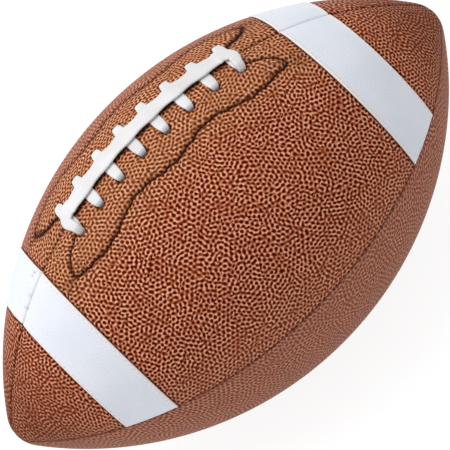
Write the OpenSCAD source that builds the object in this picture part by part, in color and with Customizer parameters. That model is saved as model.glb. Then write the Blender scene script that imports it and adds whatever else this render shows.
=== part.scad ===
/* [Ball] */
// Length from tip to tip
ball_l = 267; // [255:1:285]
// Diameter across the middle
ball_d = 149.4; // [144:0.2:156]
// Rounding radius of each tip
tip_r = 15; // [13:0.5:18]

/* [Cover] */
// Thickness of a cover panel
cover_t = 1.8; // [1.5:0.1:2.2]
// Radius of the bend where a panel turns into a seam
edge_r = 1.5; // [1.2:0.1:1.7]
// Depth of the turned-in seam allowance below the surface
seam_depth = 6.5; // [6:0.1:7.5]
// Distance from a tip to the end of the seam allowance
seam_tip_gap = 13; // [12:0.5:16]

/* [Linings] */
// Thickness of a cloth lining
lining_t = 0.9; // [0.6:0.1:1.1]

/* [Seam thread] */
// Distance between stitches along a seam
stitch_pitch = 5.5; // [4.5:0.1:7]
// Thickness of the seam thread
thread_d = 0.9; // [0.7:0.05:1.1]

/* [Lacing] */
// Number of crossbars
bar_count = 8; // [6:1:9]
// Distance between crossbars
bar_pitch = 13.6; // [12.6:0.1:13.8]
// Distance from the seam to the middle of a lace hole
hole_y = 11.6; // [10.5:0.1:12.5]
// Diameter of a lace hole
hole_d = 4.3; // [4.1:0.1:4.6]
// Width of the lace where it crosses as a bar
bar_w = 5.2; // [4.6:0.1:5.6]
// Width of the lace along the middle
spine_w = 8.6; // [7.6:0.1:9.2]
// Thickness of the lace
lace_t = 1.7; // [1.4:0.05:1.8]
// Length of each lace end inside the ball
lace_tail = 9; // [6:0.5:11]

/* [Facings] */
// Thickness of a lace facing
facing_t = 1.4; // [1:0.1:1.6]
// Distance from the seam to the outer edge of a facing
facing_w = 26.5; // [24:0.5:29]
// How far a facing reaches past the last crossbar
facing_past = 17; // [15:0.5:19]
// Rounding radius of the facing's outer corners
facing_r = 14; // [11:0.5:15]

/* [Tongue] */
// Thickness of the tongue under the laces
tongue_t = 1; // [0.8:0.1:1.4]
// Width of the tongue
tongue_w = 30; // [28:1:34]

/* [Stripes] */
// Distance along the ball from a tip to a stripe's outer edge
stripe_tip_gap = 39.1; // [37:0.1:41]
// Width of a stripe along the ball
stripe_w = 22.4; // [18:0.2:25]
// Thickness of a stripe
stripe_t = 0.7; // [0.5:0.05:0.9]
// Height of a stripe above the cover
stripe_stand = 0.35; // [0.2:0.05:0.4]

/* [Bladder] */
// Thickness of the bladder wall
bladder_t = 0.8; // [0.7:0.1:1.3]

/* [Valve] */
// Diameter of the inflation needle's bore
needle_d = 2.1; // [2:0.05:2.3]
// Diameter of the valve core's stem
core_d = 4.6; // [4.2:0.1:5]
// Diameter of the valve core's head
core_head_d = 6; // [5.6:0.1:6.4]
// Diameter of the valve neck
neck_d = 8.4; // [7.8:0.1:9]
// Diameter of the valve's bonding flange
valve_flange_d = 20; // [16:0.5:24]
// Depth of the valve below the ball's surface
valve_l = 14; // [12:0.5:18]

/* [Hidden] */

$fn = 120;
// Facets of small round holes and threads
small_fn = 24;

// Clearances: between the two panels of a seam, between plies, round a lace, at the bladder
seam_gap = 0.1;
ply_gap = 0.1;
lace_gap = 0.12;
bladder_gap = 0.3;
valve_gap = 0.05;
// Overrun of every cut
over = 1;
// Angle by which a swept tip arc runs past the ball's long axis
over_angle = 1;

// Colours
leather = [0.68, 0.42, 0.27];
cloth = [0.85, 0.82, 0.74];
white = [0.93, 0.94, 0.96];
dark_thread = [0.25, 0.13, 0.08];
rubber = [0.12, 0.12, 0.13];

// Outline of the ball: one long arc, tangent to a small arc at each tip
ball_r = ball_d / 2;
half_l = ball_l / 2;
tip_x = half_l - tip_r;
main_r = (tip_x * tip_x + ball_r * ball_r - tip_r * tip_r) / (2 * (ball_r - tip_r));
main_drop = main_r - ball_r;
join_angle = atan2(tip_x, main_drop);

// Depth below the surface at which each ply starts
lining_in = cover_t + ply_gap;
facing_in = lining_in + lining_t + ply_gap;
facing_out = facing_in + facing_t;
bladder_in = lining_in + lining_t + bladder_gap;

// Distances from a seam's middle plane
panel_side = seam_gap / 2;
lining_side = panel_side + cover_t + ply_gap;
thread_side = lining_side + lining_t + ply_gap + thread_d / 2;

// Seam allowance and its stitches
seam_end = half_l - seam_tip_gap;
stitch_depth = (seam_depth + lining_in + lining_t) / 2;
stitch_r = main_r - stitch_depth;
stitch_step = stitch_pitch / stitch_r * 180 / PI;
awl_r = thread_d * 0.72;
pin_r = thread_d * 0.42;

// Lace: bars, levels above the surface and the bends over the hole edges
last_bar = (bar_count - 1) / 2 * bar_pitch;
slit_end = last_bar + bar_w * 1.7;
strand_w = hole_d * 0.79;
strand_t = hole_d * 0.3;
pair_off = strand_t / 2 + lace_gap;
bend_r = strand_t / 2 + hole_d * 0.13;
bar_h = lace_gap + lace_t / 2;
spine_h = bar_h + lace_t + lace_gap;
spine_sag = lace_t * 0.15;
corner_r = spine_w * 0.61;
corner_out = bar_w * 0.18;
inner_h = -(facing_out + lace_gap + lace_t / 2);
deep_h = inner_h - lace_t - lace_gap;
hole_step = asin(hole_y / ball_r);
turn_steps = 3;
lace_sides = 12;

// Facing outline
facing_end = last_bar + facing_past;
facing_foot = bar_w * 0.47;
facing_foot_y = hole_y * 0.58;
facing_slope = 0.52;

// Tongue and the pocket that the laces press into the bladder
tongue_in = -deep_h + lace_t / 2 + lace_gap;
tongue_end = slit_end - ply_gap * 10;
pocket_in = tongue_in + tongue_t + bladder_gap;
channel_r = thread_side + thread_d / 2 + bladder_gap;
channel_c = seam_depth + bladder_gap - sqrt(pow(channel_r, 2) - pow(lining_side + lining_t, 2));

// Stripe
stripe_in = half_l - stripe_tip_gap - stripe_w;
stripe_sink = stripe_t - stripe_stand;

// Valve, square to the middle of its panel
valve_sink = stripe_stand;
core_head_t = core_d * 0.3;
valve_flange_t = bladder_t * 1.2;

// Half outline of the ball, drawn in from its surface by inset
module half_profile(inset) {
    join_x = (main_r - inset) * sin(join_angle);
    intersection() {
        translate([0, -main_drop]) circle(r = main_r - inset);
        translate([-join_x, 0]) square([2 * join_x, ball_r + over]);
    }
    intersection() {
        for (end = [-1, 1]) translate([end * tip_x, 0]) circle(r = tip_r - inset);
        translate([-half_l - over, 0]) square([ball_l + 2 * over, ball_r]);
    }
}

// The ball as a solid, drawn in from its surface by inset
module ball_solid(inset) {
    rotate([0, 90, 0]) rotate_extrude() mirror([1, -1, 0]) half_profile(inset);
}

// A layer of the ball between two depths
module layer(depth, thickness) {
    difference() {
        ball_solid(depth);
        ball_solid(depth + thickness);
    }
}

// The space of one panel, whose seams lie in the planes y = 0 and z = 0
module panel_space(side) {
    translate([-half_l - over, side, side]) cube([ball_l + 2 * over, ball_r + over, ball_r + over]);
}

// A slab across the ball from one place on its long axis to another
module slab(from_x, to_x) {
    translate([from_x, -ball_r - over, -ball_r - over])
        cube([to_x - from_x, ball_d + 2 * over, ball_d + 2 * over]);
}

// Sweep a section along the ball's outline in the plane z = 0: x is height above the surface
module along_seam() {
    translate([0, -main_drop, 0])
        rotate_extrude(angle = 2 * join_angle, start = 90 - join_angle) translate([main_r, 0]) children();
    for (end = [0, 1]) mirror([end, 0, 0]) translate([tip_x, 0, 0])
        rotate_extrude(angle = 90 - join_angle + over_angle, start = -over_angle)
            translate([tip_r, 0]) children();
}

// What stands at the seam in z = 0 stands again at the seam in y = 0
module both_seams() {
    children();
    mirror([0, 1, -1]) children();
}

// The corner that the bend of a seam edge leaves free, for a surface drawn in by inset
module seam_bend(inset) {
    along_seam() difference() {
        translate([-edge_r, -over]) square([edge_r + 2 * over, edge_r + panel_side + over]);
        translate([-edge_r, edge_r + panel_side]) circle(r = edge_r - inset, $fn = small_fn * 2);
    }
}

// One panel's solid with bent seam edges, drawn in from its outer face by inset
module panel_solid(inset) {
    difference() {
        intersection() {
            ball_solid(inset);
            panel_space(panel_side);
        }
        both_seams() seam_bend(inset);
    }
}

// Angles of the stitches between two places along the ball
function stitches(from_x, to_x) = [
    for (k = [ceil(asin(from_x / stitch_r) / stitch_step) : floor(asin(to_x / stitch_r) / stitch_step)])
        k * stitch_step
];

// Stretches of a seam: both sides of the lace opening, or the whole length
function stretches(open) = open ? [[-seam_end, -slit_end], [slit_end, seam_end]] : [[-seam_end, seam_end]];

// The turned-in edge of one ply along the seam in z = 0, with its awl holes
module turned_edge(depth, thickness, side, open) {
    translate([0, 0, side]) linear_extrude(thickness) difference() {
        intersection() {
            difference() {
                half_profile(depth);
                half_profile(seam_depth);
            }
            for (s = stretches(open)) translate([s[0], 0]) square([s[1] - s[0], ball_r]);
        }
        for (s = stretches(open)) for (a = stitches(s[0] + stitch_pitch, s[1] - stitch_pitch))
            translate([0, -main_drop]) rotate(-a) translate([0, stitch_r]) circle(r = awl_r, $fn = 4);
    }
}

// Lock-stitch thread of the seam in z = 0: a line on each side, joined through every awl hole
module lock_stitch(open) {
    color(dark_thread) for (s = stretches(open)) {
        angles = stitches(s[0] + stitch_pitch, s[1] - stitch_pitch);
        first = angles[0];
        last = angles[len(angles) - 1];
        translate([0, -main_drop, 0]) {
            for (side = [-1, 1])
                rotate_extrude(angle = last - first + stitch_step / 2, start = 90 - last - stitch_step / 4)
                    translate([stitch_r, side * thread_side]) circle(d = thread_d, $fn = small_fn);
            for (a = angles) rotate([0, 0, -a]) translate([0, stitch_r, -thread_side])
                cylinder(h = 2 * thread_side, r = pin_r, $fn = small_fn);
        }
    }
}

// Stand something on the surface at a place along the ball and an angle round it from the lace seam
module on_surface(x, turn) {
    rotate([-turn, 0, 0]) translate([0, 0, -main_drop]) rotate([0, asin(x / main_r), 0])
        translate([0, 0, main_r]) children();
}

// The lace holes on the side y > 0, through everything down to the bladder
module lace_holes() {
    for (i = [0 : bar_count - 1]) on_surface(i * bar_pitch - last_bar, hole_step)
        translate([0, 0, -facing_out - over]) cylinder(h = facing_out + 2 * over, d = hole_d, $fn = small_fn * 2);
}

// A bore round the valve's axis, between two depths below the surface
module valve_bore(diameter, top, bottom) {
    rotate([-45, 0, 0]) translate([0, 0, ball_r - bottom])
        cylinder(h = bottom - top, d = diameter, $fn = small_fn * 2);
}

// Cover panel of the quarter y > 0, z > 0
module cover_panel(laced) {
    difference() {
        union() {
            intersection() {
                layer(0, cover_t);
                panel_space(panel_side);
            }
            turned_edge(cover_t / 2, cover_t, panel_side, false);
            mirror([0, 1, -1]) turned_edge(cover_t / 2, cover_t, panel_side, laced);
        }
        both_seams() seam_bend(0);
        if (laced) {
            lace_holes();
            for (end = [0, 1]) mirror([end, 0, 0]) difference() {
                intersection() {
                    ball_solid(-over);
                    slab(stripe_in, stripe_in + stripe_w);
                }
                panel_solid(stripe_sink);
            }
        }
    }
}

// Lining of the quarter y > 0, z > 0
module panel_lining(laced) {
    difference() {
        union() {
            intersection() {
                layer(lining_in, lining_t);
                panel_space(lining_side);
            }
            turned_edge(lining_in + lining_t / 2, lining_t, lining_side, false);
            mirror([0, 1, -1]) turned_edge(lining_in + lining_t / 2, lining_t, lining_side, laced);
            if (laced) intersection() {
                layer(lining_in, lining_t);
                slab(-slit_end + ply_gap, slit_end - ply_gap);
                translate([-half_l, panel_side, 0]) cube([ball_l, lining_side + lining_t, ball_r]);
            }
        }
        if (laced) lace_holes();
    }
}

// Outline of the facing in plan, on the side y > 0
module facing_outline() {
    difference() {
        union() {
            square([facing_end, facing_w - facing_r]);
            square([facing_end - facing_r, facing_w]);
            translate([facing_end - facing_r, facing_w - facing_r]) circle(r = facing_r);
            translate([-over, 0]) square([facing_end - facing_r, facing_w]);
        }
        translate([last_bar + facing_foot, facing_foot_y]) polygon([
            [0, 0],
            [facing_past, facing_past * facing_slope],
            [facing_past, -facing_w],
            [0, -facing_w]
        ]);
    }
}

// Facing behind the lace holes on the side y > 0
module lace_facing() {
    color(cloth) difference() {
        intersection() {
            layer(facing_in, facing_t);
            linear_extrude(ball_r) for (end = [0, 1]) mirror([end, 0]) facing_outline();
            translate([-half_l, panel_side, 0]) cube([ball_l, ball_r, ball_r]);
        }
        lace_holes();
    }
}

// Stripe of the quarter y > 0, z > 0 at the end x > 0
module stripe() {
    color(white) intersection() {
        slab(stripe_in + ply_gap, stripe_in + stripe_w - ply_gap);
        difference() {
            panel_solid(-stripe_stand);
            panel_solid(stripe_sink - ply_gap / 2);
        }
    }
}

// Strip between the laces and the bladder
module lace_tongue() {
    color(cloth) intersection() {
        layer(tongue_in, tongue_t);
        translate([-tongue_end, -tongue_w / 2, 0]) cube([2 * tongue_end, tongue_w, ball_r]);
    }
}

// What a pad at the lace seam presses into the bladder, down to a depth below the ball's surface
module pressed(half_length, half_width, depth) {
    difference() {
        translate([-half_length, -half_width, 0]) cube([2 * half_length, 2 * half_width, ball_r + over]);
        ball_solid(depth);
    }
}

// The bladder's form: drawn in over each seam, under the facings and under the laces
module bladder_form(inset) {
    room = bladder_gap + inset;
    difference() {
        ball_solid(bladder_in + inset);
        for (turn = [0, 90, 180, 270]) rotate([turn, 0, 0]) intersection() {
            along_seam() {
                translate([-channel_c, 0]) circle(r = channel_r + inset, $fn = small_fn * 2);
                translate([-channel_c, -channel_r - inset])
                    square([channel_c + over, 2 * (channel_r + inset)]);
            }
            slab(-seam_end - room, seam_end + room);
        }
        pressed(facing_end + room, facing_w + room, facing_out + room);
        pressed(slit_end + inset, tongue_w / 2 + room, pocket_in + inset);
    }
}

module bladder() {
    color(rubber) difference() {
        bladder_form(0);
        bladder_form(bladder_t);
        mirror([0, 0, 1]) valve_bore(neck_d + 2 * valve_gap, 0, bladder_in + bladder_t + over);
    }
}

// Moulded valve: a neck through the panel, a barrel inside and a flange bonded under the bladder wall
module valve_housing() {
    flange_top = bladder_in + bladder_t + valve_gap;
    color(rubber) mirror([0, 0, 1]) difference() {
        union() {
            valve_bore(neck_d, valve_sink, valve_l);
            intersection() {
                layer(flange_top, valve_flange_t);
                valve_bore(valve_flange_d, 0, valve_l);
            }
        }
        valve_bore(core_d, 0, valve_l + over);
        valve_bore(core_head_d, 0, valve_sink + core_head_t);
    }
}

// Rubber plug that grips the needle
module valve_core() {
    color("dimgray") mirror([0, 0, 1]) difference() {
        union() {
            valve_bore(core_head_d - 2 * valve_gap, valve_sink, valve_sink + core_head_t - valve_gap);
            valve_bore(core_d - 2 * valve_gap, valve_sink + core_head_t / 2, valve_l);
        }
        valve_bore(needle_d, 0, valve_l + over);
    }
}

// Point of the lace: place along the ball, distance round it from the seam, height above the surface
function lace_point(p) =
    let (
        tilt = asin(p[0] / main_r),
        turn = p[1] / ball_r * 180 / PI,
        reach = (main_r + p[2]) * cos(tilt) - main_drop
    )
    [(main_r + p[2]) * sin(tilt), reach * sin(turn), reach * cos(turn)];

// Direction of the lace's width at such a point, turned in the surface from the long axis
function lace_across(p) =
    let (
        tilt = asin(p[0] / main_r),
        turn = p[1] / ball_r * 180 / PI,
        along = [cos(tilt), -sin(tilt) * sin(turn), -sin(tilt) * cos(turn)],
        round = [0, cos(turn), -sin(turn)]
    )
    cos(p[3]) * along + sin(p[3]) * round;

// Round a hole edge in the plane across the ball, from upright to flat or back
function rise(x, y, y_dir, level, base, w, t, turned) = [
    for (k = [0 : turn_steps])
        let (
            a = 90 * k / turn_steps,
            grow = k / turn_steps
        )
        [
            x,
            y + y_dir * bend_r * (1 - cos(a)),
            base + (level - base) * sin(a),
            turned,
            strand_w + (w - strand_w) * grow,
            strand_t + (t - strand_t) * grow
        ]
];
function reversed(list) = [for (k = [len(list) - 1 : -1 : 0]) list[k]];

// Heights at which the lace leaves the upright stretch in a hole
upper_base = bar_h - bend_r;
inner_base = inner_h + bend_r;
deep_base = deep_h + bend_r;

// Where each strand stands in its hole: the end holes in front hold two
function hole_strand(i) = -hole_y + ((i == 0 || i == bar_count - 1) ? pair_off : 0);
function bar_x(i) = i * bar_pitch - last_bar;
bar_shares = [-0.45, 0, 0.45];
deep_shares = [-0.4, 0, 0.4];
inner_shares = [0.06, 0.2, 0.35, 0.5, 0.65, 0.8, 0.94];
function eased(q) = q * q * (3 - 2 * q);

// One bar from its front hole to its back hole
function bar(i) = concat(
    rise(bar_x(i), hole_strand(i), 1, bar_h, upper_base, bar_w, lace_t, 0),
    [for (s = bar_shares) [bar_x(i), s * 2 * hole_y * 0.7, bar_h, 0, bar_w, lace_t]],
    reversed(rise(bar_x(i), hole_y, -1, bar_h, upper_base, bar_w, lace_t, 0))
);

// From a back hole, inside, to the next front hole: straight out of each bend, slanting between
function inner_strand(i) =
    let (
        from_y = hole_y - bend_r,
        run = from_y - hole_strand(i + 1) - bend_r
    )
    concat(
        rise(bar_x(i), hole_y, -1, inner_h, inner_base, bar_w, lace_t, 0),
        [
            for (q = inner_shares)
                [
                    bar_x(i) + bar_pitch * eased(q),
                    from_y - run * q,
                    inner_h,
                    atan(6 * q * (1 - q) * bar_pitch / run),
                    bar_w,
                    lace_t
                ]
        ],
        reversed(rise(bar_x(i + 1), hole_strand(i + 1), 1, inner_h, inner_base, bar_w, lace_t, 0))
    );

// First end, inside under the opening, up to the first front hole
first_tail = concat(
    [
        [bar_x(0), -hole_y + pair_off + bend_r + lace_tail, inner_h, 0, bar_w, lace_t],
        [bar_x(0), -hole_y + pair_off + bend_r + lace_tail / 2, inner_h, 0, bar_w, lace_t]
    ],
    reversed(rise(bar_x(0), -hole_y + pair_off, 1, inner_h, inner_base, bar_w, lace_t, 0))
);

// From the last back hole, deeper inside and below the others, to the last front hole
last_x = bar_x(bar_count - 1);
deep_strand = concat(
    rise(last_x, hole_y, -1, deep_h, deep_base, bar_w, lace_t, 0),
    [for (s = deep_shares) [last_x, -s * 2 * hole_y * 0.8, deep_h, 0, bar_w, lace_t]],
    reversed(rise(last_x, -hole_y - pair_off, 1, deep_h, deep_base, bar_w, lace_t, 0))
);

// Over the end bar's front arm: the bend passes outside the bar's own bend
wrap_y = bend_r + 2 * pair_off;
wrap_h = spine_h - upper_base;
function over_arm(x, turned, w) = [
    for (k = [0 : turn_steps])
        let (a = 90 * k / turn_steps)
        [
            x,
            -hole_y - pair_off + wrap_y * (1 - cos(a)),
            upper_base + wrap_h * sin(a),
            turned,
            strand_w + (w - strand_w) * k / turn_steps,
            strand_t + (lace_t - strand_t) * k / turn_steps
        ]
];

// The turn from the arm into the middle run, and its mirror image at the other end
corner_steps = 4;
function corner(end) = [
    for (k = [0 : corner_steps])
        let (
            a = 90 * k / corner_steps,
            w = bar_w + (spine_w - bar_w) * k / corner_steps
        )
        [
            end * (last_bar + corner_out - corner_r * (1 - cos(a))),
            -corner_r * (1 - sin(a)),
            spine_h,
            end > 0 ? a : 180 - a,
            w,
            lace_t
        ]
];
spine_run = [
    for (k = [1 : 2 * bar_count - 3])
        [
            last_bar - k * bar_pitch / 2,
            0,
            spine_h - (k % 2) * spine_sag,
            90,
            spine_w,
            lace_t
        ]
];

// Last end: down the first front hole, then under the first end
last_tail = concat(
    rise(bar_x(0), -hole_y - pair_off, 1, deep_h, deep_base, bar_w, lace_t, 180),
    [
        [bar_x(0), -hole_y - pair_off + bend_r + lace_tail / 2, deep_h, 180, bar_w, lace_t],
        [bar_x(0), -hole_y - pair_off + bend_r + lace_tail, deep_h, 180, bar_w, lace_t]
    ]
);

// The whole route of the lace, end to end
lace_route = concat(
    first_tail,
    [
        for (i = [0 : bar_count - 1])
            each concat(bar(i), i < bar_count - 1 ? inner_strand(i) : deep_strand)
    ],
    over_arm(last_x, 0, bar_w),
    corner(1),
    spine_run,
    reversed(corner(-1)),
    reversed(over_arm(bar_x(0), 180, bar_w)),
    last_tail
);
lace_points = [for (p = lace_route) lace_point(p)];
function unit(v) = v / norm(v);

// Section of the lace: flat, with round shoulders
lace_round = 0.7;
function flattened(v) = sign(v) * pow(abs(v), lace_round);
function lace_ring(k) =
    let (
        p = lace_route[k],
        before = lace_points[max(k - 1, 0)],
        after = lace_points[min(k + 1, len(lace_points) - 1)],
        forward = unit(after - before),
        up = unit(cross(forward, lace_across(p))),
        across = cross(up, forward)
    )
    [
        for (s = [0 : lace_sides - 1])
            let (a = 360 * s / lace_sides)
            lace_points[k] + p[4] / 2 * flattened(cos(a)) * across + p[5] / 2 * flattened(sin(a)) * up
    ];

// One flat lace: bars outside, slanting strands inside, then a run along the middle over the bars
module lace() {
    count = len(lace_route);
    rings = [for (k = [0 : count - 1]) each lace_ring(k)];
    ends = [lace_points[0], lace_points[count - 1]];
    first_end = count * lace_sides;
    function at(k, s) = k * lace_sides + s % lace_sides;
    skin = [
        for (k = [0 : count - 2]) for (s = [0 : lace_sides - 1])
            each [[at(k, s), at(k + 1, s), at(k + 1, s + 1)], [at(k, s), at(k + 1, s + 1), at(k, s + 1)]]
    ];
    caps = [
        for (s = [0 : lace_sides - 1])
            each [[first_end, at(0, s), at(0, s + 1)], [first_end + 1, at(count - 1, s + 1), at(count - 1, s)]]
    ];
    color(white) polyhedron(points = concat(rings, ends), faces = concat(skin, caps));
}

// Set a piece of the quarter y > 0, z > 0 in front or behind, above or below
module quarter(front, below) {
    mirror([0, front ? 1 : 0, 0]) mirror([0, 0, below ? 1 : 0]) children();
}

module front_lace_panel() color(leather) quarter(true, false) cover_panel(true);
module back_lace_panel() color(leather) quarter(false, false) cover_panel(true);
module front_lower_panel() color(leather) quarter(true, true) cover_panel(false);
module back_lower_panel() color(leather) quarter(false, true) difference() {
    cover_panel(false);
    valve_bore(neck_d + 2 * valve_gap, -over, cover_t + over);
}
module front_lace_lining() color(cloth) quarter(true, false) panel_lining(true);
module back_lace_lining() color(cloth) quarter(false, false) panel_lining(true);
module front_lower_lining() color(cloth) quarter(true, true) panel_lining(false);
module back_lower_lining() color(cloth) quarter(false, true) difference() {
    panel_lining(false);
    valve_bore(neck_d + 2 * valve_gap, 0, lining_in + lining_t + over);
}
module lace_seam_thread() rotate([90, 0, 0]) lock_stitch(true);
module front_seam_thread() rotate([180, 0, 0]) lock_stitch(false);
module back_seam_thread() lock_stitch(false);
module bottom_seam_thread() rotate([-90, 0, 0]) lock_stitch(false);
module front_lace_facing() quarter(true, false) lace_facing();
module back_lace_facing() quarter(false, false) lace_facing();
module front_left_stripe() quarter(true, false) mirror([1, 0, 0]) stripe();
module front_right_stripe() quarter(true, false) stripe();
module back_left_stripe() quarter(false, false) mirror([1, 0, 0]) stripe();
module back_right_stripe() quarter(false, false) stripe();

// The ball lies on the plane z = 0 with its laces up
module lying() translate([0, 0, ball_r]) children();

lying() front_lace_panel();
lying() back_lace_panel();
lying() front_lower_panel();
lying() back_lower_panel();
lying() front_lace_lining();
lying() back_lace_lining();
lying() front_lower_lining();
lying() back_lower_lining();
lying() lace_seam_thread();
lying() front_seam_thread();
lying() back_seam_thread();
lying() bottom_seam_thread();
lying() front_lace_facing();
lying() back_lace_facing();
lying() lace_tongue();
lying() lace();
lying() front_left_stripe();
lying() front_right_stripe();
lying() back_left_stripe();
lying() back_right_stripe();
lying() bladder();
lying() valve_housing();
lying() valve_core();
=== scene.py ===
"""Looks of an american football: grained cover, sewn stripes and flat lacing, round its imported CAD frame."""

import math

import bpy
import numpy as np
from mathutils import Matrix, Vector


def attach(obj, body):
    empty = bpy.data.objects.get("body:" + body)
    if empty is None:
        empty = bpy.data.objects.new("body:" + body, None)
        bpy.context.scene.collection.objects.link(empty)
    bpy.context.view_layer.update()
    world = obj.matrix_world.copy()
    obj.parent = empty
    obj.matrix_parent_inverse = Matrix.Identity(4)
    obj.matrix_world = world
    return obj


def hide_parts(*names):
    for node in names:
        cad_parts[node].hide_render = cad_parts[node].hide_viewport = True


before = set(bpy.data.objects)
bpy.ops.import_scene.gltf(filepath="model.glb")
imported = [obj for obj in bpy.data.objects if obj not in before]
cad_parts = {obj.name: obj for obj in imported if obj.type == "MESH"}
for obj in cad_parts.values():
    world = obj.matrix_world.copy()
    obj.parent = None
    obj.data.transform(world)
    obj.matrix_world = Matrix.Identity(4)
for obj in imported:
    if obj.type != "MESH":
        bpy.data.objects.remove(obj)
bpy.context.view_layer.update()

bpy.context.scene.view_settings.view_transform = "Standard"

# Every size below is in millimetres, as in the part's own source
MM = 0.001
QUARTER = math.pi / 2

# Ball
BALL_L = 267.0
BALL_D = 149.4
TIP_R = 15.0
BALL_R = BALL_D / 2
TIP_X = BALL_L / 2 - TIP_R
MAIN_R = (TIP_X**2 + BALL_R**2 - TIP_R**2) / (2 * (BALL_R - TIP_R))
MAIN_DROP = MAIN_R - BALL_R
JOIN_ANGLE = math.atan2(TIP_X, MAIN_DROP)
JOIN_S = MAIN_R * JOIN_ANGLE
END_S = JOIN_S + TIP_R * (QUARTER - JOIN_ANGLE)

# Cover, and the bent edges of its panels at the lace or lower seam and at the side seams
COVER_T = 1.8
EDGE_R = 1.5
SIDE_EDGE_R = 0.8
SEAM_SIDE = 0.05
SEAM_DEPTH = 6.5
# Depth of a panel's turned-in walls near a tip, beyond the cover's own thickness, as a share of the radius
TIP_WALL = 0.4
# Valleys along the seams, and puckers between their stitches, whose waves are shifted at the side seams
VALLEY_DEPTH = 0.4
SIDE_VALLEY_DEPTH = VALLEY_DEPTH * 0.6
VALLEY_W = 4.2
STITCH_PITCH = 5.5
PUCKER_DEPTH = 0.13
PUCKER_OUT = 1.4
PUCKER_W = 1.1
SIDE_PHASE = 1.7
# Radius of the ball below which valleys and puckers fade towards a tip
SEAM_FADE_R = 12
# How dark the painted shade along the lace seam, the lower seam and the side seams is; that painted shade is
# wider by a share of the bend
LACE_SEAM_SHADE = 0.45
LOWER_SEAM_SHADE = 1.0
SIDE_SEAM_SHADE = 0.55
SEAM_SHADE_W = 0.5
SEAM_SHADE_BEND = 0.3

# Lacing
BAR_COUNT = 8
BAR_PITCH = 13.6
HOLE_Y = 11.6
HOLE_D = 4.3
BAR_W = 5.2
SPINE_W = 8.6
LACE_T = 1.7
LACE_TAIL = 9.0
LACE_GAP = 0.12
LAST_BAR = (BAR_COUNT - 1) / 2 * BAR_PITCH
BARS = np.arange(BAR_COUNT) * BAR_PITCH - LAST_BAR
# Painted shadow on the leather under the lace's long run: its strength, its edge inside the run's own, and its
# fades
UNDER_SHADE = 0.9
UNDER_SHADE_IN = 0.5
UNDER_SHADE_FADE = 0.8
UNDER_SHADE_END = 1.5

# Sewn line round the facing behind the laces: its wavy long side, its corner and its end
LINE_Y = 24.3
LINE_WAVE = 1.8
LINE_PITCH = 43.0
LINE_LEAN = -0.012
LINE_WOBBLE = ((0.3, 9.7, 0.4), (0.22, 6.1, 2.1), (0.14, 3.7, 1.2))
LINE_CORNER = (63.5, 18.9)
LINE_END = ((50.5, 8.2), (53.5, 9.7), (57.2, 10.9), (60.4, 13.2), (62.5, 15.9), LINE_CORNER)
LINE_DEPTH = 0.85
LINE_W = 0.8
# Painted shade in the sewn line's groove: its strength and its width
LINE_SHADE = 1.15
LINE_SHADE_W = 0.72
# How much wider the sewn line's groove is outside the line than inside it, on the front and on the back
LINE_OUTER = {True: 1.0, False: 3.0}
# Rise of the leather over the facing, and where it starts and ends inside the line
FACING_RISE = 0.55
RISE_REACH = (-0.4, 3.5)
# Creases that run out from each corner of the sewn line: direction in degrees, length, depth and the darkness
# of their painted shade
CREASES = (
    (28, 10, 0.34, 0.75),
    (-14, 8, 0.3, 0.55),
    (72, 8, 0.28, 0.6),
    (118, 7, 0.2, 0.35),
    (170, 7, 0.22, 0.5),
    (215, 6, 0.18, 0.4),
)
CREASE_W = 0.6
CREASE_BEND = 0.05

# Stripes
STRIPE_IN = 72.0
STRIPE_W = 22.4
STRIPE_OUT = STRIPE_IN + STRIPE_W
STRIPE_STAND = 0.35
STRIPE_T = 0.7
# Raised rim of each pressed edge: its width and rise, and the place and width of its crest
RIM_W = 1.0
RIM_RISE = 0.16
CREST_OUT = 0.55
CREST_W = 0.45
# Puckers of the left stripe by the lace seam, on the front and on the back: place across the stripe,
# distance from the seam and strength; then the width and length of all, their depth and their darkness, partly
# cracked coating and partly painted shade
STRIPE_PUCKERS = {
    True: ((17.5, 1.1, 0.35),),
    False: ((2.4, 4.1, 0.9), (4.4, 4.4, 0.55), (12.2, 1.2, 0.9), (18.2, 0.9, 0.5)),
}
GATHER_W = 0.42
GATHER_L = 1.0
GATHER_DEPTH = 0.3
GATHER_SHADE = 0.9
PLY_GAP = 0.1
# Trench in the cover along each edge of a stripe: its depth, its width and the width of its painted shade
TRENCH_DEPTH = 0.3
TRENCH_W = 0.6
TRENCH_SHADE_W = 0.75

# Stretches where the cover's tone changes: deep towards the tips as painted shade, warm by the laces with its
# fades, dull towards the side seam and drawn smooth on the back, both with a painted sheen, in distances along
# and round the ball or in turns
DEEP_ALONG = (92, 140)
WARM_ROUND = 40
WARM_ROUND_FADE = 22
WARM_ALONG = 92
WARM_ALONG_FADE = 30
DULL_TURN = (1.2, 1.57)
DRAWN_FROM_TURN = (0.32, 0.42)
DRAWN_TO_TURN = (0.75, 1.1)
DRAWN_ALONG = (88, 122)

# Dip and painted shade of the cover round a lace hole and round the valve
DIP_DEPTH = 0.35
DIP_W = 1.6
DIP_SHADE = 0.8
DIP_SHADE_W = 0.7

# Rows of a panel's grid at its bent edge and beyond it, the radius below which they are drawn together at
# a tip, and the greatest sine of a row's turn
EDGE_ROWS = 8
OUTER_ROWS = (2.1, 2.8, 3.7)
DRAW_R = 10
MOST_SINE = 0.7

# Valve
NECK_D = 8.4
VALVE_GAP = 0.05

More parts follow.
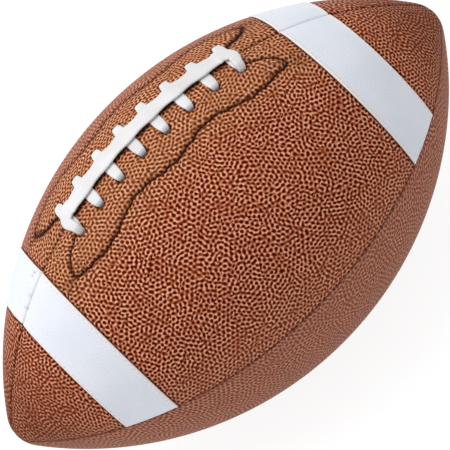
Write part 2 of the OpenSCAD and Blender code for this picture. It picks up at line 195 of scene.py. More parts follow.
# Colours as screen values from 0 to 255
COLOURS = {
    "tan": (166, 81, 42),
    "darker tan": (157, 75, 39),
    "warm tan": (168, 107, 61),
    "tip shade brown": (110, 50, 26),
    "sheen tan": (160, 106, 88),
    "grain rim highlight": (238, 172, 138),
    "grain pit": (70, 4, 0),
    "leather shade": (46, 4, 0),
    "stripe white": (236, 239, 248),
    "stripe grey": (228, 233, 243),
    "stripe pit": (176, 182, 194),
    "pressed edge": (247, 232, 222),
    "stripe fold": (104, 76, 66),
    "lace white": (229, 229, 231),
    "lace grey": (220, 219, 219),
    "lace pit grey": (182, 176, 168),
    "dark thread": (56, 12, 3),
    "dark twist": (36, 6, 1),
    "white thread": (238, 238, 240),
    "white twist": (196, 200, 208),
    "lining": (214, 205, 182),
    "lining shade": (170, 160, 138),
    "facing": (196, 182, 150),
    "facing shade": (150, 136, 108),
    "bladder": (26, 26, 29),
    "bladder bloom": (44, 43, 46),
    "valve": (34, 32, 31),
    "valve bloom": (58, 55, 53),
    "valve_core": (52, 50, 49),
    "valve_core bloom": (78, 75, 72),
}


def paint(name):
    """One of the colours above as linear RGBA."""
    screen = np.array(COLOURS[name]) / 255
    linear = np.where(screen <= 0.04045, screen / 12.92, ((screen + 0.055) / 1.055) ** 2.4)
    return (*linear.tolist(), 1.0)


def spread(stops, steps):
    """Values from stop to stop, each stretch cut into its own number of equal steps."""
    parts = [np.linspace(a, b, n, endpoint=False) for a, b, n in zip(stops[:-1], stops[1:], steps)]
    return np.append(np.concatenate(parts), stops[-1])


def bump_shape(distance, width):
    """A smooth hump, 1 at distance 0 and fading as a Gaussian of that width."""
    return np.exp(-((distance / width) ** 2))


def smooth_step(value, low, high):
    """0 below low, 1 above high, and 3q^2 - 2q^3 between."""
    q = np.clip((value - low) / (high - low), 0, 1)
    return q * q * (3 - 2 * q)


def unit(vectors):
    """The vectors with their length made 1."""
    return vectors / np.linalg.norm(vectors, axis=-1, keepdims=True)


def outline(s):
    """The ball's outline at distance s along a meridian from its middle: x, radius and outward direction.

    One arc of radius MAIN_R about a centre MAIN_DROP below the axis, then an arc of TIP_R at each tip."""
    way = np.sign(s)
    far = np.abs(s)
    on_tip = far > JOIN_S
    angle = np.where(on_tip, JOIN_ANGLE + (far - JOIN_S) / TIP_R, far / MAIN_R)
    x = np.where(on_tip, TIP_X + TIP_R * np.sin(angle), MAIN_R * np.sin(angle))
    radius = np.where(on_tip, TIP_R * np.cos(angle), MAIN_R * np.cos(angle) - MAIN_DROP)
    return way * x, radius, way * np.sin(angle), np.cos(angle)


def meridian(x):
    """Distance along a meridian of the place x on the long axis, on the main arc."""
    return MAIN_R * np.arcsin(x / MAIN_R)


def on_ball(s, turn, height, front=False, below=False):
    """Points at meridian distance s, at a turn round the axis from the upper or lower seam, and at a height.

    The height is over the plain ball, and the turn goes to the front or to the back."""
    x, radius, out_x, out_r = outline(s)
    reach = radius + height * out_r
    y = reach * np.sin(turn) * (-1 if front else 1)
    z = reach * np.cos(turn) * (-1 if below else 1)
    return np.stack(np.broadcast_arrays(x + height * out_x, y, BALL_R + z), axis=-1)


def grid_faces(rows, columns):
    """Quads between neighbours of a grid of points whose last column joins its first."""
    i = np.arange(rows - 1)[:, None] * columns
    j = np.arange(columns)[None, :]
    k = (j + 1) % columns
    quads = np.stack(np.broadcast_arrays(i + j, i + columns + j, i + columns + k, i + k), axis=-1)
    return quads.reshape(-1, 4)


def fan_faces(ring, middle):
    """Triangles from a closed ring of points to the point at its middle."""
    return np.stack([ring, np.roll(ring, -1), np.full(len(ring), middle)], axis=-1)


def with_ends(values):
    """Values on a tube's rings, with the mean of each end ring for the point that closes it."""
    flat = values.reshape(-1, *values.shape[2:])
    return np.concatenate([flat, values[0].mean(0)[None], values[-1].mean(0)[None]])


def tube_mesh(grid):
    """Points and faces of a tube given as rings of points, with both ends closed by a fan."""
    rows, columns = grid.shape[:2]
    first = np.arange(columns)
    last = first + (rows - 1) * columns
    ends = [fan_faces(first, rows * columns), fan_faces(last, rows * columns + 1)[:, ::-1]]
    return with_ends(grid), [grid_faces(rows, columns), *ends]


def make_piece(name, points, faces, material, mirrored=False, marks=None):
    """One finished piece from points in millimetres and face arrays.

    Marks are named values or vectors on its points, and a mirrored piece has its faces turned over."""
    loops = [list(f) for array in faces for f in (array[:, ::-1] if mirrored else array).tolist()]
    mesh = bpy.data.meshes.new(name)
    mesh.from_pydata((points * MM).tolist(), [], loops)
    mesh.polygons.foreach_set("use_smooth", np.ones(len(mesh.polygons), dtype=bool))
    for mark, values in (marks or {}).items():
        values = np.ascontiguousarray(values, dtype=np.float32)
        kind, field = ("FLOAT_VECTOR", "vector") if values.ndim == 2 else ("FLOAT", "value")
        mesh.attributes.new(mark, kind, "POINT").data.foreach_set(field, values.ravel())
    mesh.validate()
    mesh.materials.append(material)
    piece = bpy.data.objects.new(name, mesh)
    bpy.context.scene.collection.objects.link(piece)
    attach(piece, "root")
    return piece


def polyline_distance(x, y, corners):
    """Distance of each place (x, y) from a chain of straight stretches."""
    best = np.full(np.shape(x), np.inf)
    for (ax, ay), (bx, by) in zip(corners[:-1], corners[1:]):
        square = (bx - ax) ** 2 + (by - ay) ** 2
        share = np.clip(((x - ax) * (bx - ax) + (y - ay) * (by - ay)) / square, 0, 1)
        best = np.minimum(best, np.hypot(x - ax - share * (bx - ax), y - ay - share * (by - ay)))
    return best


def sewn_y(x):
    """Distance round from the lace seam to the long sewn line: wavy, and drawn down to its corners."""
    shape = np.sqrt(np.clip(1 - (np.abs(x) / LINE_CORNER[0]) ** 8, 0, 1))
    flat = LINE_Y + LINE_WAVE * np.cos(2 * np.pi * x / LINE_PITCH) + LINE_LEAN * x
    for size, pitch, phase in LINE_WOBBLE:
        flat = flat + size * np.sin(2 * np.pi * x / pitch + phase)
    return LINE_CORNER[1] + (flat - LINE_CORNER[1]) * shape


def sewn_line():
    """Corners of the whole sewn line of one facing, end to end, in x and distance round from the seam."""
    x = LINE_CORNER[0] * np.sin(np.linspace(-np.pi / 2, np.pi / 2, 161))
    long_side = np.stack([x, sewn_y(x)], axis=-1)
    end = np.array(LINE_END)
    return np.concatenate([end[:-1] * (-1, 1), long_side, end[-2::-1]])


def laced_relief(x, arc, front):
    """Height and painted shade of a laced panel's sewn area: x is along the ball, arc round it from the lace
    seam.

    The leather has a painted shadow under the lace's long run, and the groove with its painted shade is wider
    on its outer side on the back."""
    line = polyline_distance(x, arc, sewn_line())
    end = np.array(LINE_END)
    inner = np.interp(np.abs(x), end[:, 0], end[:, 1])
    inside = (arc < sewn_y(x)) & ((np.abs(x) < end[0, 0]) | (arc > inner)) & (np.abs(x) < LINE_CORNER[0])
    signed = np.where(inside, line, -line)
    groove = line / np.where(inside, 1.0, LINE_OUTER[front])
    height = FACING_RISE * smooth_step(signed, *RISE_REACH) - LINE_DEPTH * bump_shape(groove, LINE_W)
    # painted shade in the sewn line's groove
    shade = np.clip(LINE_SHADE * bump_shape(groove, LINE_SHADE_W), 0, 1)
    # painted shadow under the lace's long run
    under_side = smooth_step(SPINE_W / 2 - UNDER_SHADE_IN - arc, 0, UNDER_SHADE_FADE)
    under_end = smooth_step(LAST_BAR + UNDER_SHADE_END - np.abs(x), 0, UNDER_SHADE_END)
    shade = np.maximum(shade, UNDER_SHADE * (under_side * under_end))
    off_x = np.abs(x) - LINE_CORNER[0]
    off_y = arc - LINE_CORNER[1]
    for angle, length, depth, darkness in CREASES:
        run_x = math.cos(math.radians(angle))
        run_y = math.sin(math.radians(angle))
        along = off_x * run_x + off_y * run_y
        aside = off_y * run_x - off_x * run_y - CREASE_BEND * along**2 * np.sign(angle - 90)
        middle = 0.45 * length
        crease = bump_shape(along - middle, 0.4 * length) * bump_shape(aside, CREASE_W)
        height = height - depth * crease
        # painted shade in the crease
        shade = np.maximum(shade, darkness * crease)
    return height, shade


def edge_bend(distance, radius):
    """How far down a cover edge is bent at a distance from the seam's plane: r(1 - sqrt(1 - q^2)).

    q goes from 0 where the bend of that radius starts to 1 at the seam."""
    q = np.clip((radius + SEAM_SIDE - distance) / radius, 0, 1)
    return radius * (1 - np.sqrt(1 - q**2))


def cover_height(s, turn, laced, front):
    """Height and painted shade of a cover panel over the plain ball: bent edges, valleys, puckers and relief.
    """
    x, radius = outline(s)[:2]
    near_shade = LACE_SEAM_SHADE if laced else LOWER_SEAM_SHADE
    fade = np.clip(radius / SEAM_FADE_R, 0, 1)
    height = 0.0
    shade = 0.0
    for distance, bend_r, valley, darkness, phase in (
        (radius * np.sin(turn), EDGE_R, VALLEY_DEPTH, near_shade, 0.0),
        (radius * np.cos(turn), SIDE_EDGE_R, SIDE_VALLEY_DEPTH, SIDE_SEAM_SHADE, SIDE_PHASE),
    ):
        wave = 0.5 + 0.5 * np.cos(2 * np.pi * s / STITCH_PITCH + phase)
        height = height - edge_bend(distance, bend_r)
        height = height - fade * valley * bump_shape(distance, VALLEY_W)
        height = height - fade * PUCKER_DEPTH * wave * bump_shape(distance - PUCKER_OUT, PUCKER_W)
        # painted shade along the seam's valley, broken by its stitches
        seam_shade = bump_shape(distance, SEAM_SHADE_W + bend_r * SEAM_SHADE_BEND)
        shade = np.maximum(shade, darkness * (0.7 + 0.3 * wave) * seam_shade)
    if laced:
        arc = radius * turn
        relief, sewn = laced_relief(x, arc, front)
        height = height + relief
        shade = np.maximum(shade, sewn)
        # painted shade in the trench along each edge of a stripe, ragged round the ball
        ragged = 0.8 + 0.2 * np.sin(arc / 1.3) * np.sin(arc / 3.1 + 1)
        for edge in (STRIPE_IN, STRIPE_OUT):
            gap = np.abs(x) - edge
            height = height - TRENCH_DEPTH * bump_shape(gap, TRENCH_W)
            shade = np.maximum(shade, ragged * bump_shape(gap, TRENCH_SHADE_W))
        under = (np.abs(x) > STRIPE_IN) & (np.abs(x) < STRIPE_OUT)
        height = np.where(under, height - (STRIPE_T - STRIPE_STAND) - PLY_GAP / 2, height)
    return height, shade


def cover_tone(s, turn, laced, front):
    """How warm, dull and deep a cover panel is: warm over the facings, dull below as a painted sheen, and deep
    towards the tips as painted shade.

    The back is also dull, with a painted sheen, where its leather is drawn smooth beyond the sewn line."""
    radius = outline(s)[1]
    along = np.abs(s)
    deep = smooth_step(along, *DEEP_ALONG)
    if not laced:
        return {"warm": np.zeros(turn.shape), "dull": np.ones(turn.shape), "deep": deep * 0.5}
    warm = smooth_step(WARM_ROUND - radius * turn, 0, WARM_ROUND_FADE)
    warm = warm * smooth_step(WARM_ALONG - along, 0, WARM_ALONG_FADE)
    dull = 0.45 * smooth_step(turn, *DULL_TURN)
    if not front:
        drawn = smooth_step(turn, *DRAWN_FROM_TURN) * (1 - smooth_step(turn, *DRAWN_TO_TURN))
        dull = dull + 0.8 * drawn * (1 - smooth_step(along, *DRAWN_ALONG))
    return {"warm": warm * (1 - dull), "dull": dull, "deep": deep}


def sink_cup(s, turn, height, shade, centre, radius, depth, snap):
    """Sinks a round hole with upright walls: points near its rim move onto it, and those within go down. Those
    within are painted fully shaded, and painted shade rings the rim.
    """
    centre_s, centre_turn = centre
    ring = outline(np.array(centre_s))[1]
    off_s = s - centre_s
    off_t = (turn - centre_turn) * ring
    away = np.hypot(off_s, off_t) + 1e-9
    within = away < radius
    wall_foot = radius * 0.97
    goal = np.where(within & (away > radius - snap), wall_foot, away)
    goal = np.where(~within & (away < radius + snap), radius, goal)
    s[:] = centre_s + off_s * goal / away
    turn[:] = centre_turn + off_t * goal / away / ring
    height -= DIP_DEPTH * bump_shape(away - radius, DIP_W)
    height[within] = -depth
    dip_shade = DIP_SHADE * bump_shape(away - radius, DIP_SHADE_W)
    shade[:] = np.where(within, 1.0, np.maximum(shade, dip_shade))


def seam_turn(distance, radius):
    """Turn round the axis of rows at distances from a seam's plane, drawn together near a tip."""
    safe = np.maximum(radius, 1e-6)[:, None]
    drawn = distance * np.clip(radius / DRAW_R, 0, 1)[:, None]
    return np.arcsin(np.clip(drawn / safe, 0, MOST_SINE))


def quarter_turns(radius, bulk):
    """Turns of the rows by a seam that shape its bent edge, and of all rows of a quarter between two seams.

    Bulk holds shares of the angle between the two seams' own rows."""
    angles = np.linspace(0, QUARTER, EDGE_ROWS)
    rows = np.append(SEAM_SIDE + EDGE_R * (1 - np.cos(angles)), OUTER_ROWS)
    seam = seam_turn(rows[None, :], radius)
    middle = seam[:, -1:] + (QUARTER - 2 * seam[:, -1:]) * bulk[None, 1:-1]
    return seam, np.concatenate([seam, middle, QUARTER - seam[:, ::-1]], axis=1)


def panel_points(s_lines, bulk, laced, front, cups):
    """Closed skin of a panel of one quarter as rings round its section: outer face, walls and inner face.

    s_lines are meridian distances, and the turned-in walls are less deep towards a tip."""
    radius = outline(s_lines)[1]
    seam, turn = quarter_turns(radius, bulk)
    s = np.broadcast_to(s_lines[:, None], turn.shape).copy()
    height, shade = cover_height(s, turn, laced, front)
    shade = np.array(np.broadcast_to(shade, turn.shape))
    for cup in cups:
        sink_cup(s, turn, height, shade, **cup)
    edge = seam[:, :1]
    inner_edge = seam_turn(SEAM_SIDE + COVER_T, radius)
    inner_turn = inner_edge + (QUARTER - 2 * inner_edge) * np.linspace(0, 1, 7)[None, :]
    far_wall = [QUARTER - edge, QUARTER - edge, QUARTER - inner_edge]
    near_wall = [inner_edge, edge, edge]
    all_turn = np.concatenate([turn, *far_wall, inner_turn[:, ::-1], *near_wall], axis=1)
    wall = np.minimum(SEAM_DEPTH, TIP_WALL * radius + COVER_T)[:, None]
    half_wall = (wall + EDGE_R) / 2
    inner = np.full(inner_turn.shape, -COVER_T)
    all_height = np.concatenate([height, -half_wall, -wall, -wall, inner, -wall, -wall, -half_wall], axis=1)
    extra = (len(s_lines), all_turn.shape[1] - turn.shape[1])
    all_s = np.concatenate([s, np.broadcast_to(s_lines[:, None], extra)], axis=1)
    # the walls and the inner face are painted fully shaded
    all_shade = np.concatenate([shade, np.ones(extra)], axis=1)
    return all_s, all_turn, all_height, all_shade


def flat_places(s, turn):
    """Places on a panel laid out flat, in metres: along the ball, and round it from the middle line."""
    across = outline(s)[1] * (turn - math.pi / 4)
    return np.stack([s, across, np.zeros_like(s)], axis=-1) * MM


def cover_panel(name, front, laced, s_lines, bulk, cups, material):
    """One cover panel, from tip to tip between two seams, closed at both tips; the laced ones are above."""
    below = not laced
    s, turn, height, shade = panel_points(s_lines, bulk, laced, front, cups)
    points, faces = tube_mesh(on_ball(s, turn, height, front, below))
    marks = {"shade": shade, "grain": flat_places(s, turn), **cover_tone(s, turn, laced, front)}
    marks = {mark: with_ends(values) for mark, values in marks.items()}
    piece = make_piece(name, points, faces, material, front != below, marks)
    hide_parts(name.replace("_cover", "_panel"))


class Tree:
    """Adds nodes to one node tree and joins them."""

    def __init__(self, tree):
        self.tree = tree

    def put(self, value, target):
        """Gives a value, or another node's socket, to an input."""
        if isinstance(value, bpy.types.NodeSocket):
            self.tree.links.new(value, target)
        else:
            target.default_value = value

    def add(self, kind, inputs=None, **settings):
        """A new node, with values or sockets for its inputs by name or number."""
        node = self.tree.nodes.new(kind)
        for key, value in settings.items():
            setattr(node, key, value)
        for key, value in (inputs or {}).items():
            self.put(value, node.inputs[key])
        return node

    def math(self, operation, *values):
        """The result of one sum."""
        return self.add("ShaderNodeMath", dict(enumerate(values)), operation=operation).outputs[0]

    def mix(self, share, first, second):
        """The first colour turned into the second by that share; 6, 7 and 2 are the colour sockets."""
        return self.add("ShaderNodeMix", {0: share, 6: first, 7: second}, data_type="RGBA").outputs[2]

    def ramp(self, value, low, high, to_low=0.0, to_high=1.0):
        """A value carried smoothly from one range to another."""
        inputs = {0: value, 1: low, 2: high, 3: to_low, 4: to_high}
        return self.add("ShaderNodeMapRange", inputs, interpolation_type="SMOOTHSTEP").outputs[0]

    def mark(self, name):
        """The values that a piece carries on its points under that name."""
        return self.add("ShaderNodeAttribute", attribute_name=name).outputs

    def place(self):
        """The Object coordinates."""
        return self.add("ShaderNodeTexCoord").outputs["Object"]


def pebble_group():
    """Pressed leather grain on a surface laid out flat: dark pits in winding rows, with light rims between.

    Two trains of waves cross at 120 degrees, with phases p and q and a direction that turns slowly, and
    cos p + cos q + cos(p + q), which goes from -1.5 to 3, gives pits in a honeycomb. Waves of every
    direction break up its rows. Depth is 0 in a pit and 1 on a rim, Height is the same made steeper, and
    Drift is a slow change of tone."""
    nodes = bpy.data.node_groups.new("pebble_grain", "ShaderNodeTree")
    for name, side, kind in (
        ("Vector", "INPUT", "Vector"),
        ("Pitch", "INPUT", "Float"),
        ("Depth", "OUTPUT", "Float"),
        ("Height", "OUTPUT", "Float"),
        ("Drift", "OUTPUT", "Float"),
    ):
        nodes.interface.new_socket(name, in_out=side, socket_type=f"NodeSocket{kind}")
    tree = Tree(nodes)
    given = tree.add("NodeGroupInput").outputs
    out = tree.add("NodeGroupOutput").inputs
    scale = tree.math("DIVIDE", 1.0, given["Pitch"])
    waves = 3.5
    broken = 0.45
    swing = 6.0
    lowest = -1.5
    span = 4.5

    def noise(times, detail):
        """Noise whose features are that many times finer than the pitch."""
        inputs = {"Vector": given["Vector"], "Scale": tree.math("MULTIPLY", scale, times), "Detail": detail}
        return tree.add("ShaderNodeTexNoise", inputs, noise_dimensions="2D").outputs[0]

    def train(shift, one_way, turned):
        """Waves of the pitch, all one way or every way, from another place of the same noise."""
        place = tree.add("ShaderNodeVectorMath", {0: given["Vector"], 1: shift}, operation="ADD").outputs[0]
        inputs = {"Vector": place, "Scale": tree.math("DIVIDE", scale, waves), "Frequency": waves}
        inputs |= {"Anisotropy": one_way, "Orientation": turned}
        return tree.add("ShaderNodeTexGabor", inputs, gabor_type="2D").outputs

    turned = tree.math("MULTIPLY_ADD", noise(0.025, 1.0), swing, -swing / 2)
    first = train((0.0, 0.0, 0.0), 1.0, turned)["Phase"]
    second = train((0.037, 0.021, 0.0), 1.0, tree.math("ADD", turned, 2 * math.pi / 3))["Phase"]
    first, second = (tree.math("MULTIPLY", phase, 2 * math.pi) for phase in (first, second))
    total = tree.math("ADD", tree.math("COSINE", first), tree.math("COSINE", second))
    total = tree.math("ADD", total, tree.math("COSINE", tree.math("ADD", first, second)))
    comb = tree.math("MULTIPLY_ADD", total, -1 / span, 1 + lowest / span)
    every_way = train((0.011, 0.053, 0.0), 0.0, 0.0)["Value"]
    loose = tree.math("MULTIPLY_ADD", tree.math("SUBTRACT", every_way, 0.5), 1.8, 0.5)
    fine = tree.math("MULTIPLY", tree.math("SUBTRACT", noise(2.6, 1.0), 0.5), 0.06)
    depth = tree.math("MULTIPLY_ADD", comb, 1 - broken, tree.math("MULTIPLY_ADD", loose, broken, fine))
    tree.put(depth, out["Depth"])
    tree.put(tree.ramp(depth, 0.3, 0.8), out["Height"])
    tree.put(noise(0.05, 3.0), out["Drift"])


def new_material(name):
    """A plain node material, with its Tree and its Principled shader."""
    material = bpy.data.materials.new(name)
    material.use_nodes = True
    shader = next(n for n in material.node_tree.nodes if n.type == "BSDF_PRINCIPLED")
    return material, Tree(material.node_tree), shader


def grain(tree, pitch):
    """The pebble_grain group on a piece's own flat places, with a pitch in millimetres."""
    inputs = {"Vector": tree.mark("grain")["Vector"], "Pitch": pitch * MM}
    return tree.add("ShaderNodeGroup", inputs, node_tree=bpy.data.node_groups["pebble_grain"]).outputs


def set_surface(tree, shader, colour, rough, height, relief, strength, specular=0.5):
    """Joins colour, roughness and a height, in shares of a relief in millimetres, to the shader."""
    tree.put(colour, shader.inputs["Base Color"])
    tree.put(rough, shader.inputs["Roughness"])
    tree.put(specular, shader.inputs["Specular IOR Level"])
    inputs = {"Height": height, "Distance": relief * MM, "Strength": strength}
    tree.put(tree.add("ShaderNodeBump", inputs).outputs[0], shader.inputs["Normal"])


def cover_leather():
    """Tan football leather: a painted highlight on the grain's rims and painted shade in its pits, warmer over
    the facings, and painted shade in creases, seams, grooves and holes.
    """
    material, tree, shader = new_material("cover_leather")
    pebbles = grain(tree, pitch=1.9)
    warm, dull, deep, shade = (tree.mark(name)["Fac"] for name in ("warm", "dull", "deep", "shade"))
    tone = tree.mix(tree.ramp(pebbles["Drift"], 0.35, 0.65), paint("tan"), paint("darker tan"))
    # deep paints shade towards the tips and dull paints a greyer sheen; with warm, they also fade the grain's
    # painted highlight and shade
    for share, colour in ((warm, "warm tan"), (deep, "tip shade brown"), (dull, "sheen tan")):
        tone = tree.mix(tree.math("MULTIPLY", share, 0.8), tone, paint(colour))
    faint = tree.math("MULTIPLY_ADD", dull, 0.5, tree.math("MULTIPLY", deep, 0.52))
    faint = tree.math("MULTIPLY_ADD", warm, 0.16, faint)
    clear = tree.math("SUBTRACT", 1.0, faint)
    # painted highlight on the grain's rims and painted shade in its pits, fainter where the marks fade the
    # grain
    light = tree.math("MULTIPLY", tree.ramp(pebbles["Depth"], 0.6, 0.86), clear)
    rim = tree.mix(light, tone, paint("grain rim highlight"))
    pit = tree.math("MULTIPLY", tree.ramp(pebbles["Depth"], 0.7, 0.36), clear)
    pitted = tree.mix(pit, rim, paint("grain pit"))
    # Painted shade from the shade mark: seams, the sewn line's groove, creases, stripe trenches, holes and the
    # leather under the lace's long run
    shaded = tree.mix(tree.math("MULTIPLY", shade, 0.97), pitted, paint("leather shade"))
    rough = tree.ramp(pebbles["Height"], 0.0, 1.0, 0.66, 0.48)
    height = tree.math("MULTIPLY", pebbles["Height"], clear)
    set_surface(tree, shader, shaded, rough, height, relief=0.24, strength=0.9, specular=0.05)
    return material


def stripe_leather():
    """Smooth white coated leather: a faint grain, warm pressed edges, painted shade along its seams, and dark
    puckers at a seam, partly cracked coating and partly painted shade.
    """
    material, tree, shader = new_material("stripe_leather")
    pebbles = grain(tree, pitch=1.4)
    edge, shade = (tree.mark(name)["Fac"] for name in ("edge", "shade"))
    tone = tree.mix(tree.ramp(pebbles["Drift"], 0.3, 0.7), paint("stripe white"), paint("stripe grey"))
    pit = tree.math("MULTIPLY", tree.ramp(pebbles["Depth"], 0.6, 0.3), 0.12)
    pitted = tree.mix(pit, tone, paint("stripe pit"))
    trimmed = tree.mix(tree.math("MULTIPLY", edge, 0.8), pitted, paint("pressed edge"))
    # painted shade at the seams and in the puckers, where the coating is also cracked
    shaded = tree.mix(tree.math("MULTIPLY", shade, 0.8), trimmed, paint("stripe fold"))
    rough = tree.ramp(pebbles["Height"], 0.0, 1.0, 0.5, 0.4)
    set_surface(tree, shader, shaded, rough, pebbles["Height"], relief=0.04, strength=0.7, specular=0.4)
    return material


def lace_rubber():
    """White flat lace: smooth, with fine cords along it, and a little darker in the pits of a faint grain."""
    material, tree, shader = new_material("lace_rubber")
    cord_pitch = 0.9
    pebbles = grain(tree, cord_pitch)
    across = tree.add("ShaderNodeSeparateXYZ", {0: tree.mark("grain")["Vector"]}).outputs[1]
    cords = tree.math("SINE", tree.math("MULTIPLY", across, 2 * math.pi / (cord_pitch * MM)))
    tone = tree.mix(tree.ramp(pebbles["Drift"], 0.3, 0.7), paint("lace white"), paint("lace grey"))
    pit = tree.math("MULTIPLY", tree.ramp(pebbles["Depth"], 0.6, 0.3), 0.1)
    # a little darker in the pits of the grain
    pit_darkened = tree.mix(pit, tone, paint("lace pit grey"))
    rough = tree.ramp(pebbles["Height"], 0.0, 1.0, 0.58, 0.48)
    height = tree.math("MULTIPLY_ADD", cords, 0.35, pebbles["Height"])
    set_surface(tree, shader, pit_darkened, rough, height, relief=0.05, strength=0.7)
    return material


def thread_material(kind):
    """Waxed thread, dark or white: a slanting twist in tone and relief."""
    material, tree, shader = new_material(f"{kind}_thread")
    twist_pitch = 1.1
    inputs = {"Vector": tree.place(), "Scale": 1 / (twist_pitch * MM), "Distortion": 1.5}
    twist = tree.add("ShaderNodeTexWave", inputs, bands_direction="DIAGONAL").outputs["Fac"]
    tone = tree.mix(twist, paint(f"{kind} twist"), paint(f"{kind} thread"))
    rough = tree.ramp(twist, 0.0, 1.0, 0.7, 0.5)
    set_surface(tree, shader, tone, rough, twist, relief=0.08, strength=0.8, specular=0.1)
    return material


def cloth_material(kind, pitch):
    """Plain woven cloth: two crossing sets of yarns as a product of waves."""
    material, tree, shader = new_material(f"{kind}_cloth")
    parts = tree.add("ShaderNodeSeparateXYZ", {0: tree.place()}).outputs
    around = tree.math("ARCTAN2", parts[1], tree.math("SUBTRACT", parts[2], BALL_R * MM))
    warp = tree.math("SINE", tree.math("MULTIPLY", parts[0], 2 * math.pi / (pitch * MM)))
    weft = tree.math("SINE", tree.math("MULTIPLY", around, 2 * math.pi * BALL_R / pitch))
    weave = tree.math("MULTIPLY_ADD", tree.math("MULTIPLY", warp, weft), 0.5, 0.5)
    tone = tree.mix(weave, paint(f"{kind} shade"), paint(kind))
    rough = tree.ramp(weave, 0.0, 1.0, 0.95, 0.8)
    set_surface(tree, shader, tone, rough, weave, relief=0.15, strength=0.6)
    return material


def rubber_material(kind):
    """Moulded rubber: dull, with a fine matt skin and a dusty bloom."""
    material, tree, shader = new_material(f"{kind}_rubber")
    place = tree.place()
    skin_size = 0.7
    bloom_size = 9
    inputs = {"Vector": place, "Scale": 1 / (skin_size * MM), "Detail": 4.0}
    skin = tree.add("ShaderNodeTexNoise", inputs).outputs[0]
    inputs = {"Vector": place, "Scale": 1 / (bloom_size * MM), "Detail": 3.0}
    bloom = tree.add("ShaderNodeTexNoise", inputs).outputs[0]
    tone = tree.mix(tree.ramp(bloom, 0.4, 0.7), paint(kind), paint(f"{kind} bloom"))
    rough = tree.ramp(skin, 0.3, 0.7, 0.5, 0.7)
    set_surface(tree, shader, tone, rough, skin, relief=0.05, strength=0.5)
    return material


def set_camera():
    """A long lens at the photograph's angle, beside the lacing and rolled so the ball lies aslant."""
    distance = 776.9
    focal_px = 1731.0
    picture_px = 450
    sensor = 36.0
    tilt = math.radians(2.66)
    lace_angle = math.radians(46.0)
    roll = math.radians(45.45)
    shift_along = 1.4
    shift_across = 0.15
    sin_t, cos_t = math.sin(tilt), math.cos(tilt)
    sin_l, cos_l = math.sin(lace_angle), math.cos(lace_angle)
    toward = Vector((-sin_t, -sin_l * cos_t, cos_l * cos_t))
    along = Vector((cos_t, -sin_l * sin_t, cos_l * sin_t))
    across = Vector((0, cos_l, sin_l))
    right = math.cos(roll) * along - math.sin(roll) * across
    up = math.sin(roll) * along + math.cos(roll) * across
    place = Vector((0, 0, BALL_R)) + distance * toward - shift_along * along - shift_across * across
    lens = bpy.data.cameras.new("camera")
    lens.sensor_width = sensor
    lens.lens = focal_px * sensor / picture_px
    camera = bpy.data.objects.new("camera", lens)
    turn = Matrix((right, up, toward)).transposed().to_4x4()
    camera.matrix_world = Matrix.Translation(place * MM) @ turn
    bpy.context.scene.collection.objects.link(camera)
    bpy.context.scene.camera = camera


# Route of the lace, as in the part's source: the strand in a hole, and the heights and bends of its parts
STRAND_W = HOLE_D * 0.79
STRAND_T = HOLE_D * 0.3
PAIR_OFF = STRAND_T / 2 + LACE_GAP
BEND_R = STRAND_T / 2 + HOLE_D * 0.13
BAR_H = LACE_GAP + LACE_T / 2
SPINE_H = BAR_H + LACE_T + LACE_GAP
SPINE_SAG = LACE_T * 0.15
CORNER_R = SPINE_W * 0.61
CORNER_OUT = BAR_W * 0.18
LINING_T = 0.9
FACING_T = 1.4
FACING_OUT = COVER_T + PLY_GAP + LINING_T + PLY_GAP + FACING_T
INNER_H = -(FACING_OUT + LACE_GAP + LACE_T / 2)
DEEP_H = INNER_H - LACE_T - LACE_GAP
TURN_STEPS = 3
CORNER_STEPS = 4
ROUTE_STEPS = 5
# In the looks alone the long run is wider over a bar and narrower between two, and a bar narrows to its hole
SPREAD_ON_BAR = 0.9
SPREAD_BETWEEN = -0.9
BAR_TIP_W = 4.3


def flat_rows(x, y, level, turned=0, width=BAR_W, thick=LACE_T):
    """Rows of the route along a flat stretch.

    Each row is x, distance round from the seam, height, turn of the width in degrees, width, thickness."""
    return np.stack(np.broadcast_arrays(x, y, level, turned, width, thick), axis=-1).astype(float)


def rise(x, y, way, level, base, turned=0, width=BAR_W, reach=BEND_R):
    """Rows of a bend from upright at (x, y, base) to flat at level, in the plane across the ball."""
    share = np.arange(TURN_STEPS + 1) / TURN_STEPS
    angle = share * np.pi / 2
    y = y + way * reach * (1 - np.cos(angle))
    height = base + (level - base) * np.sin(angle)
    width = STRAND_W + (width - STRAND_W) * share
    return flat_rows(x, y, height, turned, width, STRAND_T + (LACE_T - STRAND_T) * share)


def corner_rows(end):
    """The turn from the end bar's front arm into the middle run, at one end of the lacing."""
    share = np.arange(CORNER_STEPS + 1) / CORNER_STEPS
    angle = share * np.pi / 2
    x = end * (LAST_BAR + CORNER_OUT - CORNER_R * (1 - np.cos(angle)))
    y = -CORNER_R * (1 - np.sin(angle))
    turned = np.degrees(angle) if end > 0 else 180 - np.degrees(angle)
    return flat_rows(x, y, SPINE_H, turned, BAR_W + (SPINE_W - BAR_W) * share)


def inner_rows(x, run):
    """A strand inside the ball, from back to front: x eases by 3q^2 - 2q^3 from one bar to the next."""
    q = np.array([0.06, 0.2, 0.35, 0.5, 0.65, 0.8, 0.94])
    turned = np.degrees(np.arctan(6 * q * (1 - q) * BAR_PITCH / run))
    along = x + BAR_PITCH * q * q * (3 - 2 * q)
    return flat_rows(along, HOLE_Y - BEND_R - run * q, INNER_H, turned)


